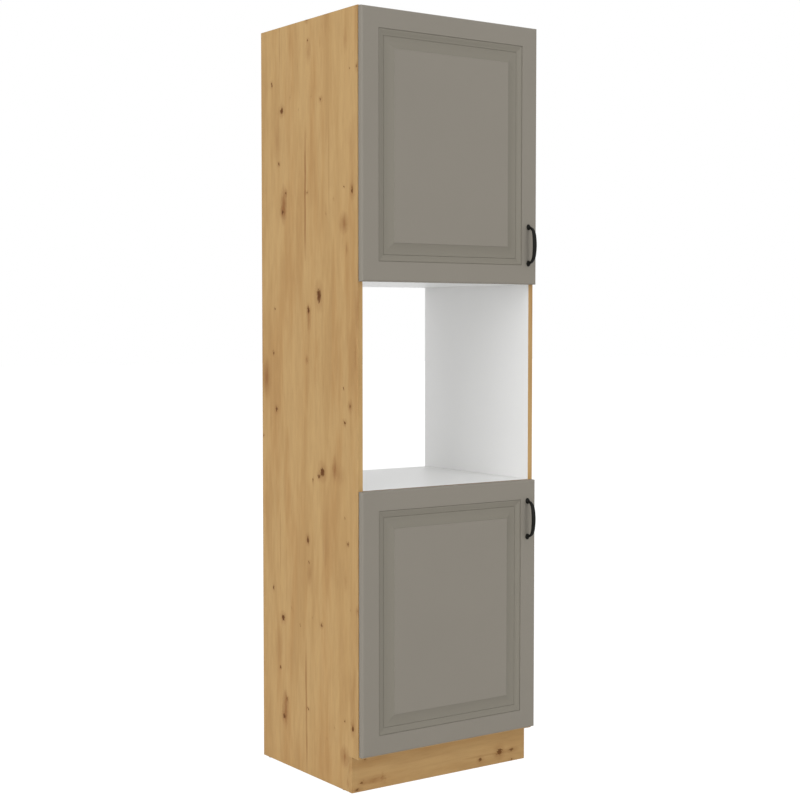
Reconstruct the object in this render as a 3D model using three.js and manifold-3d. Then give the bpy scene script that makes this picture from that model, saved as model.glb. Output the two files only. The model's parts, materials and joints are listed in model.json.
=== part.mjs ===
// Tall kitchen cabinet for a built-in oven, with a cupboard above and below the niche.
// Millimetres, +Z up, the doors face -Y. The origin is on the floor, in the middle of
// the overall width and of the overall depth. Inside the cabinet group, x = 0 is the
// middle of the width and y = 0 is the front edge of the carcass.
import * as THREE from 'three';
import { mergeVertices } from 'three/addons/utils/BufferGeometryUtils.js';
import Module from 'manifold-3d';

const wasm = await Module();
wasm.setup();

// Carcass
const cabinetWidth = 600;
const cabinetHeight = 2100;
const cabinetDepth = 500;
const boardThickness = 16;
const seat = 0.3;                 // clearance between pieces that touch
const glideHeight = 2;
const glideRadius = 7;
const glideInset = 30;            // from the front and rear ends of a side panel's foot
const glideChamfer = 0.8;
const nailRadius = 1.2;
const nailLength = 14;
const nailPoint = 2;

// Toe kick
const plinthHeight = 100;
const plinthSetback = 30;
const plinthThickness = 16;

// Oven niche
const nicheFloor = 821.4;         // top of the oven shelf
const nicheHeight = 556.1;

// Back panels, let into grooves
const backThickness = 3;
const backInset = 12;
const grooveDepth = 8;
const grooveSlack = 0.3;

// Adjustable shelves and their pins
const shelfFrontInset = 22;
const pinRowFront = 45;
const pinRowRear = 420;
const pinPitch = 64;
const pinHoleRadius = 2.6;
const pinHoleDepth = 9;
const pinChamfer = 0.6;
const pinStemRadius = 2.4;
const pinArmRadius = 3;
const pinArmLength = 8;
const pinCollarRadius = 5;
const pinCollarThickness = 1.5;
const lowerShelfRise = 336;       // above the bottom panel
const upperShelfRise = 336.5;     // above the niche top panel

// Doors
const doorReveal = 2;
const doorGap = 2;                // between the back of a door and the carcass
const doorThickness = 16;
const doorEdgeRadius = 3;
const lowerDoorLift = 7;          // foot of the lower door above the plinth
const lowerDoorDrop = 1.1;        // head of the lower door below the niche floor
const upperDoorDrop = 2.3;        // head of the upper door below the top of the cabinet

// Routed panel, measured in from the edge of the door and back from its front
const frameWidth = 53;
const quirkWall = 0.4;            // run of the quirk's steep side
const quirkWidth = 1.8;
const quirkDepth = 2;
const ogeeWidth = 21.4;
const ogeeDepth = 1.2;            // where the ogee starts, beside the quirk
const ogeeSwell = 0.6;            // 0 is a straight slope, 1 a full S
const valleyDepth = 6.4;
const valleyWidth = 0.6;
const bevelWidth = 25;
const stepFoot = 1.7;             // depth at the head of the bevel
const stepWidth = 0.8;
const fieldDepth = 0.4;

// Handles
const handleEdgeInset = 30;       // from the hung-free edge of the door
const handleEndInset = 110;       // middle of the handle from the door's near end
const handleHoleSpacing = 96;
const handleProjection = 33;
const handleFootSplay = 3.5;      // how far the foot leans out past its screw
const handleFootHalfWidth = 6.6;
const handleFootHalfLength = 8.2;
const handleFootHeight = 7.5;
const handleNeckHalfWidth = 3.8;
const handleNeckHalfThickness = 3.4;
const handleMiddleHalfWidth = 6.8;
const handleMiddleHalfThickness = 4.1;
const handleScrewRadius = 1.9;
const handleScrewPoint = 0.5;
const handleScrewHeadRadius = 4;
const handleScrewHeadHeight = 2.4;
const handleScrewGrip = 6;
const handleScrewSlack = 0.35;

// Half a bow's path, as shares of its reach and of half the hole spacing: the control
// points of the leg, then those of the crown.
const bowLeg = [[0.15, 1.04], [0.64, 1.02], [0.9, 0.82], [0.95, 0.42]];
const bowCrown = [[0.95, 0.42], [1, 0.2], [1, 0]];
const bowLegSteps = 8;
const bowCrownSteps = 4;

// Rings of a handle's foot, as shares of its height, its half sizes and its splay.
const footRings = [[0, 0.9, 1], [0.13, 1, 1], [0.36, 0.98, 0.95], [0.66, 0.82, 0.72], [1, 0.56, 0.4]];

// Door bumpers
const bumperRadius = 4;
const bumperEndInset = 30;
const bumperClearance = 0.15;
const bumperRings = [[1, 0], [0.95, 0.6], [0.7, 1], [0, 1]];   // shares of radius and thickness

// Concealed hinges. Plan positions are from the inner face of the hinge side (u) and
// from the carcass front (v); the height runs along z.
const hingeEndInset = 100;
const cupEdgeDistance = 21.5;     // cup centre from the edge of the door
const cupRadius = 17.3;
const cupBoreSlack = 0.25;
const cupDepth = 11.6;
const cupFloor = 1;
const cupFlangeThickness = 0.8;
const cupFlangeRadius = 18.8;
const cupWingHalfLength = 28;
const cupWingWidth = 17;
const cupPocketStart = 5.9;       // from the edge of the door
const cupPocketEnd = 36;
const cupPocketHalfHeight = 5;
const outerArmPivot = [15, 14];
const outerCupPivot = [-4.5, -5.5];
const outerElbows = [[-0.6, -9.4], [8.5, -7.5]];
const innerArmPivot = [26, 3];
const innerCupPivot = [0, -9.2];
const innerElbows = [[12, -9], [19, 2]];
const linkHalfWidth = 1.8;
const linkEyeRadius = 2.5;
const hingePinRadius = 1.1;
const hingePinSlack = 0.3;
const linkLayerGap = 0.3;
const outerLinkHeight = 4;
const innerLinkHeight = 3.1;
const pinBite = 1;                // how far a hinge pin runs into what holds it
const pinEndGap = 0.1;            // from the middle plane, where the two layers' pins end
const armCheek = 1.5;
const armCheekGap = 0.5;
const armWeb = 1.5;
const plateSetback = 37;          // mounting plate screws from the carcass front
const plateWingHalfLength = 24;
const plateWingWidth = 13;
const plateThickness = 2.2;
const plateRailHalfHeight = 4;
const plateRailFront = 12;        // from the plate's screws to the ends of its rail
const plateRailRear = 23;
const plateRailFoot = 4;          // height of the rail's blunt front end
const plateRailRun = 8;           // from the screws to where the rail is at full height

// Side outline of a hinge arm, as steps in (u, v).
const armNose = [[-3, -2], [0, -2.6], [2.6, -1.6], [3.2, 3]];   // round the front pivot
const armChin = [[-3, 0], [-2.6, -2.4]];                         // round the rear pivot
const armShoulder = [5, 18];                                     // from the rear pivot
const armSaddle = [1.5, 8];                                      // over the plate's screws
const armTail = 25;                                              // past the plate's screws
const armSkirt = [6.5, 12];       // the cheeks' lower edge, and where it ends past the rear pivot

const arcSteps = 6;
const ogeeSteps = 8;
const roundSides = 12;
const cupSides = 28;
const bowSides = 16;
const past = 1;                   // how far a cutter runs past the face that it cuts

// Heights and widths that follow from the sizes above
const halfWidth = cabinetWidth / 2;
const innerHalf = halfWidth - boardThickness;
const nicheCeiling = nicheFloor + nicheHeight;
const topBoard = cabinetHeight - boardThickness / 2;
const nicheTopBoard = nicheCeiling + boardThickness / 2;
const ovenShelfBoard = nicheFloor - boardThickness / 2;
const bottomBoard = plinthHeight + boardThickness / 2;
const lowerShelfHeight = plinthHeight + boardThickness + lowerShelfRise;
const upperShelfHeight = nicheCeiling + boardThickness + upperShelfRise;
const backFront = cabinetDepth - backInset - backThickness;
const fixedHalf = innerHalf - seat;
const shelfHalf = innerHalf - pinCollarThickness - 2 * seat;
const doorBack = -doorGap;
const doorFront = doorBack - doorThickness;
const overallFront = doorFront - handleProjection;
const middleY = (cabinetDepth + overallFront) / 2;
const doorWidth = cabinetWidth - 2 * doorReveal;

const oak = new THREE.MeshStandardMaterial({ color: 0xbe9669, roughness: 0.6, metalness: 0 });
const whiteBoard = new THREE.MeshStandardMaterial({ color: 0xe6e6e4, roughness: 0.5, metalness: 0 });
const clayPaint = new THREE.MeshStandardMaterial({ color: 0x8b877b, roughness: 0.65, metalness: 0 });
const blackIron = new THREE.MeshStandardMaterial({ color: 0x201f1c, roughness: 0.45, metalness: 0.6 });
const nickel = new THREE.MeshStandardMaterial({ color: 0xb9b9b4, roughness: 0.3, metalness: 0.9 });
const zinc = new THREE.MeshStandardMaterial({ color: 0xa8aaad, roughness: 0.4, metalness: 0.8 });
const clearRubber = new THREE.MeshStandardMaterial({ color: 0xd8dadb, roughness: 0.5, metalness: 0 });
const glidePlastic = new THREE.MeshStandardMaterial({ color: 0x6f5a44, roughness: 0.6, metalness: 0 });

// ---- Solids ----

function solidOf(geometry) {
  const bare = geometry.index ? geometry.toNonIndexed() : geometry.clone();
  for (const name of Object.keys(bare.attributes)) {
    if (name !== 'position') bare.deleteAttribute(name);
  }
  const merged = mergeVertices(bare, 1e-4);
  return new wasm.Manifold(new wasm.Mesh({
    numProp: 3,
    vertProperties: merged.attributes.position.array,
    triVerts: Uint32Array.from(merged.index.array),
  }));
}

function geometryOf(solid) {
  const { vertProperties, triVerts } = solid.getMesh();
  const geometry = new THREE.BufferGeometry();
  geometry.setAttribute('position', new THREE.Float32BufferAttribute(vertProperties, 3));
  geometry.setIndex(Array.from(triVerts));
  geometry.computeVertexNormals();
  return geometry;
}

function joined(geometries) {
  return geometryOf(geometries.map(solidOf).reduce((whole, part) => whole.add(part)));
}

function cut(geometry, cutters) {
  return geometryOf(cutters.map(solidOf).reduce((whole, part) => whole.subtract(part), solidOf(geometry)));
}

function block(sizeX, sizeY, sizeZ, x = 0, y = 0, z = 0) {
  return new THREE.BoxGeometry(sizeX, sizeY, sizeZ).translate(x, y, z);
}

// A cylinder between two places on one axis, 'x', 'y' or 'z'.
function rod(axis, radius, from, to, across, sides = roundSides) {
  const length = Math.abs(to - from);
  const geometry = new THREE.CylinderGeometry(radius, radius, length, sides);
  const middle = (from + to) / 2;
  if (axis === 'x') return geometry.rotateZ(-Math.PI / 2).translate(middle, across[0], across[1]);
  if (axis === 'y') return geometry.translate(across[0], middle, across[1]);
  return geometry.rotateX(Math.PI / 2).translate(across[0], across[1], middle);
}

// A profile of [radius, height] turned about the y axis.
function turned(profile, sides = roundSides) {
  return new THREE.LatheGeometry(profile.map(([r, h]) => new THREE.Vector2(r, h)), sides);
}

function outline(points) {
  const shape = new THREE.Shape();
  points.forEach(([x, y], index) => (index ? shape.lineTo(x, y) : shape.moveTo(x, y)));
  shape.closePath();
  return shape;
}

// A plan outline (x, y) raised from one height to another.
function raised(shape, from, to) {
  const options = { depth: to - from, bevelEnabled: false, curveSegments: arcSteps };
  return new THREE.ExtrudeGeometry(shape, options).translate(0, 0, from);
}

// An outline in the (y, z) plane, extruded along x.
function standing(shape, from, to) {
  const axes = new THREE.Matrix4().makeBasis(
    new THREE.Vector3(0, 1, 0), new THREE.Vector3(0, 0, 1), new THREE.Vector3(1, 0, 0));
  return raised(shape, from, to).applyMatrix4(axes);
}

function capsule([x0, y0], [x1, y1], radius) {
  const along = Math.atan2(y1 - y0, x1 - x0);
  const shape = new THREE.Shape();
  shape.absarc(x0, y0, radius, along + Math.PI / 2, along + 3 * Math.PI / 2, false);
  shape.absarc(x1, y1, radius, along - Math.PI / 2, along + Math.PI / 2, false);
  shape.closePath();
  return shape;
}

// Closes a stack of rings, each a list of [x, y, z] in the same order, into one body.
// The rings are read the other way round when their faces would point inwards.
function loft(rings) {
  const count = rings[0].length;
  const positions = rings.flat(2);
  const faces = [];
  for (let ring = 0; ring + 1 < rings.length; ring += 1) {
    for (let corner = 0; corner < count; corner += 1) {
      const a = ring * count + corner;
      const b = ring * count + (corner + 1) % count;
      faces.push([a, b, b + count], [a, b + count, a + count]);
    }
  }
  const last = (rings.length - 1) * count;
  for (let corner = 1; corner + 1 < count; corner += 1) {
    faces.push([0, corner + 1, corner], [last, last + corner, last + corner + 1]);
  }
  const vertex = (i) => new THREE.Vector3().fromArray(positions, 3 * i);
  const volume = faces.reduce((sum, [a, b, c]) => sum + vertex(a).dot(vertex(b).cross(vertex(c))), 0);
  const geometry = new THREE.BufferGeometry();
  geometry.setAttribute('position', new THREE.Float32BufferAttribute(positions, 3));
  geometry.setIndex(faces.flatMap(([a, b, c]) => (volume > 0 ? [a, b, c] : [a, c, b])));
  return geometry;
}

function place(parent, name, geometry, material, x = 0, y = 0, z = 0) {
  const mesh = new THREE.Mesh(geometry, material);
  mesh.name = name;
  mesh.position.set(x, y, z);
  parent.add(mesh);
  return mesh;
}

// ---- Carcass boards ----

const grooveWidth = backThickness + 2 * grooveSlack;
const grooveMiddle = backFront + backThickness / 2;

function backSpans() {
  return [
    [bottomBoard + boardThickness / 2, nicheFloor - boardThickness],
    [nicheCeiling + boardThickness, cabinetHeight - boardThickness],
  ];
}

function pinHeights(shelfHeight) {
  const middle = shelfHeight - pinArmRadius - seat;
  return [middle - pinPitch, middle, middle + pinPitch];
}

// side is -1 on the left and 1 on the right; the local origin is on the inner face.
function sidePanel(side) {
  const notchDepth = plinthSetback + plinthThickness + seat;
  const profile = outline([
    [notchDepth, glideHeight], [cabinetDepth, glideHeight], [cabinetDepth, cabinetHeight],
    [0, cabinetHeight], [0, plinthHeight], [notchDepth, plinthHeight],
  ]);
  const panel = standing(profile, Math.min(0, side * boardThickness), Math.max(0, side * boardThickness));
  const cutters = backSpans().map(([low, high]) => block(
    2 * grooveDepth, grooveWidth, high - low + 2 * grooveDepth, 0, grooveMiddle, (low + high) / 2));
  for (const shelfHeight of [lowerShelfHeight, upperShelfHeight]) {
    for (const z of pinHeights(shelfHeight)) {
      for (const y of [pinRowFront, pinRowRear]) {
        cutters.push(rod('x', pinHoleRadius, -side * past, side * pinHoleDepth, [y, z]));
      }
    }
  }
  for (const y of glidePlaces()) {
    cutters.push(rod('z', nailRadius + seat, glideHeight - past, glideHeight + nailLength + seat,
      [side * boardThickness / 2, y]));
  }
  return cut(panel, cutters);
}

function glidePlaces() {
  const footFront = plinthSetback + plinthThickness;
  return [footFront + glideInset, cabinetDepth - glideInset];
}

// A fixed board between the sides; grooveSides lists 1 for a groove above, -1 below.
function fixedBoard(grooveSides) {
  const board = block(2 * fixedHalf, cabinetDepth, boardThickness, 0, cabinetDepth / 2, 0);
  const grooves = grooveSides.map((side) => block(
    2 * (fixedHalf + past), grooveWidth, 2 * grooveDepth, 0, grooveMiddle, side * boardThickness / 2));
  return cut(board, grooves);
}

function backPanel([low, high]) {
  const reach = grooveDepth - seat;
  return block(2 * (innerHalf + reach), backThickness, high - low + 2 * reach,
    0, grooveMiddle, (low + high) / 2);
}

function shelfPin() {
  const end = pinHoleDepth - seat;
  const profile = [
    [0, -end], [pinStemRadius - pinChamfer, -end], [pinStemRadius, pinChamfer - end],
    [pinStemRadius, seat], [pinCollarRadius, seat], [pinCollarRadius, seat + pinCollarThickness],
    [pinArmRadius, seat + pinCollarThickness], [pinArmRadius, pinArmLength - pinChamfer],
    [pinArmRadius - pinChamfer, pinArmLength], [0, pinArmLength],
  ];
  return turned(profile);
}

function nailOnGlide() {
  const top = glideHeight - seat;
  const profile = [
    [0, 0], [glideRadius - glideChamfer, 0], [glideRadius, glideChamfer], [glideRadius, top],
    [nailRadius, top], [nailRadius, glideHeight + nailLength - nailPoint],
    [0, glideHeight + nailLength],
  ];
  return turned(profile).rotateX(Math.PI / 2);
}

const cabinet = new THREE.Group();
cabinet.position.y = -middleY;

for (const [name, side] of [['left_side_panel', -1], ['right_side_panel', 1]]) {
  place(cabinet, name, sidePanel(side), oak, side * innerHalf);
}
place(cabinet, 'top_panel', fixedBoard([-1]), whiteBoard, 0, 0, topBoard);
place(cabinet, 'niche_top_panel', fixedBoard([1]), whiteBoard, 0, 0, nicheTopBoard);
place(cabinet, 'oven_shelf', fixedBoard([-1]), whiteBoard, 0, 0, ovenShelfBoard);
place(cabinet, 'bottom_panel', fixedBoard([1]), whiteBoard, 0, 0, bottomBoard);
place(cabinet, 'plinth_board', block(cabinetWidth, plinthThickness, plinthHeight - glideHeight - seat), oak,
  0, plinthSetback + plinthThickness / 2, (plinthHeight + glideHeight - seat) / 2);

const [lowerSpan, upperSpan] = backSpans();
place(cabinet, 'lower_back_panel', backPanel(lowerSpan), whiteBoard);
place(cabinet, 'upper_back_panel', backPanel(upperSpan), whiteBoard);

for (const [level, shelfHeight] of [['lower', lowerShelfHeight], ['upper', upperShelfHeight]]) {
  const shelfDepth = backFront - seat - shelfFrontInset;
  place(cabinet, `${level}_shelf`, block(2 * shelfHalf, shelfDepth, boardThickness),
    whiteBoard, 0, shelfFrontInset + shelfDepth / 2, shelfHeight + boardThickness / 2);
  for (const [hand, side] of [['left', -1], ['right', 1]]) {
    for (const [row, y] of [['front', pinRowFront], ['rear', pinRowRear]]) {
      const pin = place(cabinet, `${level}_shelf_pin_${row}_${hand}`, shelfPin(), nickel,
        side * innerHalf, y, shelfHeight - pinArmRadius - seat);
      pin.rotation.z = side * Math.PI / 2;
    }
  }
}

for (const [hand, side] of [['left', -1], ['right', 1]]) {
  glidePlaces().forEach((y, index) => place(cabinet, `glide_${index ? 'rear' : 'front'}_${hand}`,
    nailOnGlide(), glidePlastic, side * (innerHalf + boardThickness / 2), y, 0));
}

// ---- Doors ----

// The door's section from its back edge to the raised field: [inset, y from the front].
function doorSection() {
  const section = [[0, doorThickness]];
  for (let step = 0; step <= arcSteps; step += 1) {
    const turn = (step / arcSteps) * Math.PI / 2;
    section.push([doorEdgeRadius * (1 - Math.cos(turn)), doorEdgeRadius * (1 - Math.sin(turn))]);
  }
  section.push([frameWidth, 0], [frameWidth + quirkWall, quirkDepth]);
  const ogeeStart = frameWidth + quirkWidth;
  for (let step = 0; step <= ogeeSteps; step += 1) {
    const share = step / ogeeSteps;
    const swell = (1 - Math.cos(share * Math.PI)) / 2;
    const fall = THREE.MathUtils.lerp(share, swell, ogeeSwell);
    section.push([ogeeStart + share * ogeeWidth, THREE.MathUtils.lerp(ogeeDepth, valleyDepth, fall)]);
  }
  const bevelStart = ogeeStart + ogeeWidth + valleyWidth;
  const bevelEnd = bevelStart + bevelWidth;
  section.push([bevelStart, valleyDepth], [bevelEnd, stepFoot], [bevelEnd + stepWidth, fieldDepth]);
  return section;
}

// Local origin: the door's lower left corner at its front face, seen from the front.
function doorBlank(height) {
  const rings = doorSection().map(([inset, y]) => [
    [inset, y, inset], [inset, y, height - inset],
    [doorWidth - inset, y, height - inset], [doorWidth - inset, y, inset],
  ]);
  return loft(rings);
}

function door(height, handleZ) {
  const cutters = [];
  for (const z of [hingeEndInset, height - hingeEndInset]) {
    cutters.push(rod('y', cupRadius + cupBoreSlack, doorThickness - cupDepth - seat,
      doorThickness + past, [cupEdgeDistance, z], cupSides));
  }
  for (const side of [-1, 1]) {
    cutters.push(rod('y', handleScrewRadius + handleScrewSlack, -past, doorThickness + past,
      [doorWidth - handleEdgeInset, handleZ + side * handleHoleSpacing / 2]));
  }
  return cut(doorBlank(height), cutters);
}

// ---- Bow handle: local origin between the two screws, at the door's face ----

function ellipseRing(centre, across, along) {
  return Array.from({ length: bowSides }, (_, step) => {
    const turn = (step / bowSides) * 2 * Math.PI;
    return centre.clone()
      .addScaledVector(across, Math.cos(turn))
      .addScaledVector(along, Math.sin(turn))
      .toArray();
  });
}

function bowPath() {
  const half = handleHoleSpacing / 2;
  const reach = handleMiddleHalfThickness - handleProjection + seat;
  const [leg, crown] = [bowLeg, bowCrown].map((points) => points.map(
    ([out, along]) => new THREE.Vector3(0, out * reach, along * half)));
  return [
    ...new THREE.CubicBezierCurve3(...leg).getPoints(bowLegSteps),
    ...new THREE.QuadraticBezierCurve3(...crown).getPoints(bowCrownSteps).slice(1),
  ];
}

function bow() {
  const upper = bowPath();
  const lower = upper.slice(0, -1).reverse().map((p) => new THREE.Vector3(0, p.y, -p.z));
  const path = [...upper, ...lower];
  const middle = upper.length - 1;
  const rings = path.map((point, index) => {
    const before = path[Math.max(index - 1, 0)];
    const after = path[Math.min(index + 1, path.length - 1)];
    const tangent = after.clone().sub(before).normalize();
    const nearMiddle = 1 - (Math.abs(index - middle) / middle) ** 2;
    const wide = THREE.MathUtils.lerp(handleNeckHalfWidth, handleMiddleHalfWidth, nearMiddle);
    const thick = THREE.MathUtils.lerp(handleNeckHalfThickness, handleMiddleHalfThickness, nearMiddle);
    const normal = new THREE.Vector3().crossVectors(new THREE.Vector3(1, 0, 0), tangent);
    return ellipseRing(point, new THREE.Vector3(wide, 0, 0), normal.multiplyScalar(thick));
  });
  return loft(rings);
}

function handleFoot(side) {
  const half = handleHoleSpacing / 2;
  return loft(footRings.map(([rise, share, splay]) => ellipseRing(
    new THREE.Vector3(0, -rise * handleFootHeight, side * (half + handleFootSplay * splay)),
    new THREE.Vector3(handleFootHalfWidth * share, 0, 0),
    new THREE.Vector3(0, 0, -handleFootHalfLength * share))));
}

function handle() {
  const half = handleHoleSpacing / 2;
  const body = joined([bow(), handleFoot(1), handleFoot(-1)]);
  return cut(body, [1, -1].map((side) => rod('y', handleScrewRadius + handleScrewSlack,
    -handleScrewGrip - 2 * seat, past, [0, side * half])));
}

// Local origin: on the screw's axis, at the back of the door.
function handleScrew() {
  const tip = -(doorThickness + seat + handleScrewGrip);
  const profile = [
    [0, tip], [handleScrewRadius - handleScrewPoint, tip], [handleScrewRadius, tip + handleScrewPoint],
    [handleScrewRadius, seat], [handleScrewHeadRadius, seat],
    [handleScrewHeadRadius, seat + handleScrewHeadHeight / 2], [0, seat + handleScrewHeadHeight],
  ];
  return turned(profile);
}

function bumper() {
  const thickness = doorGap - 2 * bumperClearance;
  return turned([[0, 0], ...bumperRings.map(([r, h]) => [r * bumperRadius, h * thickness])]);
}

// ---- Concealed hinge ----

const doorEdge = doorReveal - boardThickness;   // u of the door's hung edge
const outerLayer = [linkLayerGap, linkLayerGap + outerLinkHeight];
const innerLayer = [-linkLayerGap - innerLinkHeight, -linkLayerGap];
const cheekInner = outerLayer[1] + armCheekGap;
const cheekOuter = cheekInner + armCheek;

function hingeCup() {
  const centre = doorEdge + cupEdgeDistance;
  const flangeFoot = doorBack + bumperClearance;
  const flangeTop = flangeFoot + cupFlangeThickness;
  const floorBack = doorBack - cupDepth;
  const wingMiddle = centre + cupWingWidth / 2;
  const pocketMiddle = doorEdge + (cupPocketStart + cupPocketEnd) / 2;
  const body = joined([
    rod('y', cupRadius, floorBack, flangeFoot + cupFlangeThickness / 2, [centre, 0], cupSides),
    rod('y', cupFlangeRadius, flangeFoot, flangeTop, [centre, 0], cupSides),
    block(cupWingWidth, cupFlangeThickness, 2 * cupWingHalfLength,
      wingMiddle, flangeFoot + cupFlangeThickness / 2, 0),
  ]);
  const pocket = block(cupPocketEnd - cupPocketStart, cupDepth, 2 * cupPocketHalfHeight,
    pocketMiddle, floorBack + cupFloor + cupDepth / 2, 0);
  const openTop = block(cupPocketEnd - cupPocketStart, cupDepth, 2 * cupPocketHalfHeight,
    pocketMiddle, doorBack, 0);
  const shell = cut(body, [pocket, openTop]);
  const innerStub = innerLayer[0] - linkLayerGap;
  return joined([
    shell,
    rod('z', hingePinRadius, pinEndGap, cupPocketHalfHeight + pinBite, outerCupPivot),
    rod('z', hingePinRadius, -cupPocketHalfHeight - pinBite, innerStub, innerCupPivot),
  ]);
}

// A flat link with bends; the eyes listed are bored for their pins.
function link(points, [low, high], bored) {
  const strips = points.slice(1).map((point, index) => raised(
    capsule(points[index], point, linkHalfWidth), low, high));
  const eyes = bored.map((pivot) => rod('z', linkEyeRadius, low, high, pivot));
  const holes = bored.map((pivot) => rod('z', hingePinRadius + hingePinSlack, low - past, high + past, pivot));
  return cut(joined([...strips, ...eyes]), holes);
}

function hingeArm() {
  const [frontU, frontV] = innerArmPivot;
  const [rearU, rearV] = outerArmPivot;
  const tail = plateSetback + armTail;
  const [skirtU, skirtEnd] = armSkirt;
  const nose = armNose.map(([u, v]) => [frontU + u, frontV + v]);
  const chin = armChin.map(([u, v]) => [rearU + u, rearV + v]);
  const back = [
    [rearU + armShoulder[0], rearV + armShoulder[1]],
    [rearU + armSaddle[0], plateSetback + armSaddle[1]], [rearU, tail],
  ];
  const brow = nose[nose.length - 1];
  const mouth = linkEyeRadius - frontV - outerElbows[0][1];   // clears the links at rest
  const cheeks = outline([[skirtU, tail], [skirtU, rearV + skirtEnd], ...chin, ...nose, ...back]);
  const hollow = outline([
    [-mouth, tail + mouth], [-mouth, -mouth], [brow[0] + mouth, -mouth],
    [brow[0] + mouth, brow[1] + past], [brow[0] - armWeb, brow[1] + past],
    ...back.map(([u, v]) => [u - armWeb, v]), [rearU - armWeb, tail + mouth],
  ]);
  const channel = cut(raised(cheeks, -cheekOuter, cheekOuter), [raised(hollow, -cheekInner, cheekInner)]);
  return joined([
    channel,
    rod('z', hingePinRadius, pinEndGap, cheekInner + armCheek / 2, outerArmPivot),
    rod('z', hingePinRadius, -cheekInner - armCheek / 2, -pinEndGap, innerArmPivot),
  ]);
}

function mountingPlate() {
  const railTop = outerArmPivot[0] - armWeb - seat;
  const railRear = plateSetback + plateRailRear;
  const wings = block(plateThickness, plateWingWidth, 2 * plateWingHalfLength,
    seat + plateThickness / 2, plateSetback, 0);
  const rail = raised(outline([
    [seat, railRear], [railTop, railRear], [railTop, plateSetback + plateRailRun],
    [plateThickness + plateRailFoot, plateSetback - plateRailFront + plateThickness],
    [seat, plateSetback - plateRailFront],
  ]), -plateRailHalfHeight, plateRailHalfHeight);
  return joined([wings, rail]);
}

function hinge(prefix, height) {
  const group = new THREE.Group();
  group.position.set(-innerHalf, 0, height);
  place(group, `${prefix}_mounting_plate`, mountingPlate(), nickel);
  place(group, `${prefix}_arm`, hingeArm(), nickel);
  place(group, `${prefix}_cup`, hingeCup(), nickel);
  place(group, `${prefix}_outer_link`, link([outerCupPivot, ...outerElbows, outerArmPivot], outerLayer,
    [outerCupPivot, outerArmPivot]), zinc);
  place(group, `${prefix}_inner_link`, link([innerCupPivot, ...innerElbows, innerArmPivot], innerLayer,
    [innerArmPivot]), zinc);
  return group;
}

function doorSet(level, bottom, top, handleZ) {
  const height = top - bottom;
  const group = new THREE.Group();
  group.position.set(-doorWidth / 2, doorFront, bottom);
  place(group, `${level}_door`, door(height, handleZ), clayPaint);
  place(group, `${level}_handle`, handle(), blackIron, doorWidth - handleEdgeInset, -seat, handleZ);
  for (const [end, side] of [['bottom', -1], ['top', 1]]) {
    const screwZ = handleZ + side * handleHoleSpacing / 2;
    place(group, `${level}_handle_screw_${end}`, handleScrew(), zinc,
      doorWidth - handleEdgeInset, doorThickness, screwZ);
    const bumperZ = side < 0 ? bumperEndInset : height - bumperEndInset;
    place(group, `${level}_door_bumper_${end}`, bumper(), clearRubber,
      doorWidth + doorReveal - boardThickness / 2, doorThickness + bumperClearance, bumperZ);
  }
  cabinet.add(group);
  cabinet.add(hinge(`${level}_hinge_bottom`, bottom + hingeEndInset));
  cabinet.add(hinge(`${level}_hinge_top`, top - hingeEndInset));
}

const lowerDoorFoot = plinthHeight + lowerDoorLift;
const lowerDoorHead = nicheFloor - lowerDoorDrop;
doorSet('lower', lowerDoorFoot, lowerDoorHead, lowerDoorHead - lowerDoorFoot - handleEndInset);
doorSet('upper', nicheCeiling, cabinetHeight - upperDoorDrop, handleEndInset);

const ovenHousing = new THREE.Group();
ovenHousing.add(cabinet);

export default ovenHousing;
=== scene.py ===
"""The finished look of a tall oven housing unit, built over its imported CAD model.

Metres, +Z up, the doors face -Y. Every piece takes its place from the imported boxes, so
it follows the model when a size there changes.
"""

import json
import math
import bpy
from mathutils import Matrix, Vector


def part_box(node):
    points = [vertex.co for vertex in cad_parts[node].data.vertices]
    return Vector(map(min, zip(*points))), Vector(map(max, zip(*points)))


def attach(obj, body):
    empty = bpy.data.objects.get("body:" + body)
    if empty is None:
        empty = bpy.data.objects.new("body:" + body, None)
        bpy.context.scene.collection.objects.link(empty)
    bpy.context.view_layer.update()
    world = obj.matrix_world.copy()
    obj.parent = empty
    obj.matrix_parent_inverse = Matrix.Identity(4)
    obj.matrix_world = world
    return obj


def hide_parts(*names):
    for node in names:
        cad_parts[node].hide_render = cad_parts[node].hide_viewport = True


bl_info = {
    "name": "Tall Oven Housing Look",
    "version": (1, 0, 0),
    "blender": (4, 5, 0),
    "location": "View3D > Sidebar > Oven Housing",
    "description": "Oak boards, routed doors, bow handles and fittings of a tall oven housing",
    "category": "Object",
}

import bmesh
import bpy
from bpy.props import FloatProperty, FloatVectorProperty, PointerProperty
from mathutils import Matrix, Vector
from mathutils.geometry import interpolate_bezier

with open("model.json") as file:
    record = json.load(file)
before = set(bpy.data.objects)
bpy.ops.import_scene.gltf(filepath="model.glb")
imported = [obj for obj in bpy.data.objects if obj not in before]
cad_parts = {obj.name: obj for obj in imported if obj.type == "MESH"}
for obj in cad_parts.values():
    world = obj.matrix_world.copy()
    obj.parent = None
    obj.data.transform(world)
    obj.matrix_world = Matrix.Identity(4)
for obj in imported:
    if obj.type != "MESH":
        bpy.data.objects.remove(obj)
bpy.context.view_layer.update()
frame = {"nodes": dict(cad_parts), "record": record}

LEVELS = ("lower", "upper")
SIDES = {"left": -1, "right": 1}
ENDS = ("bottom", "top")

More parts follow.
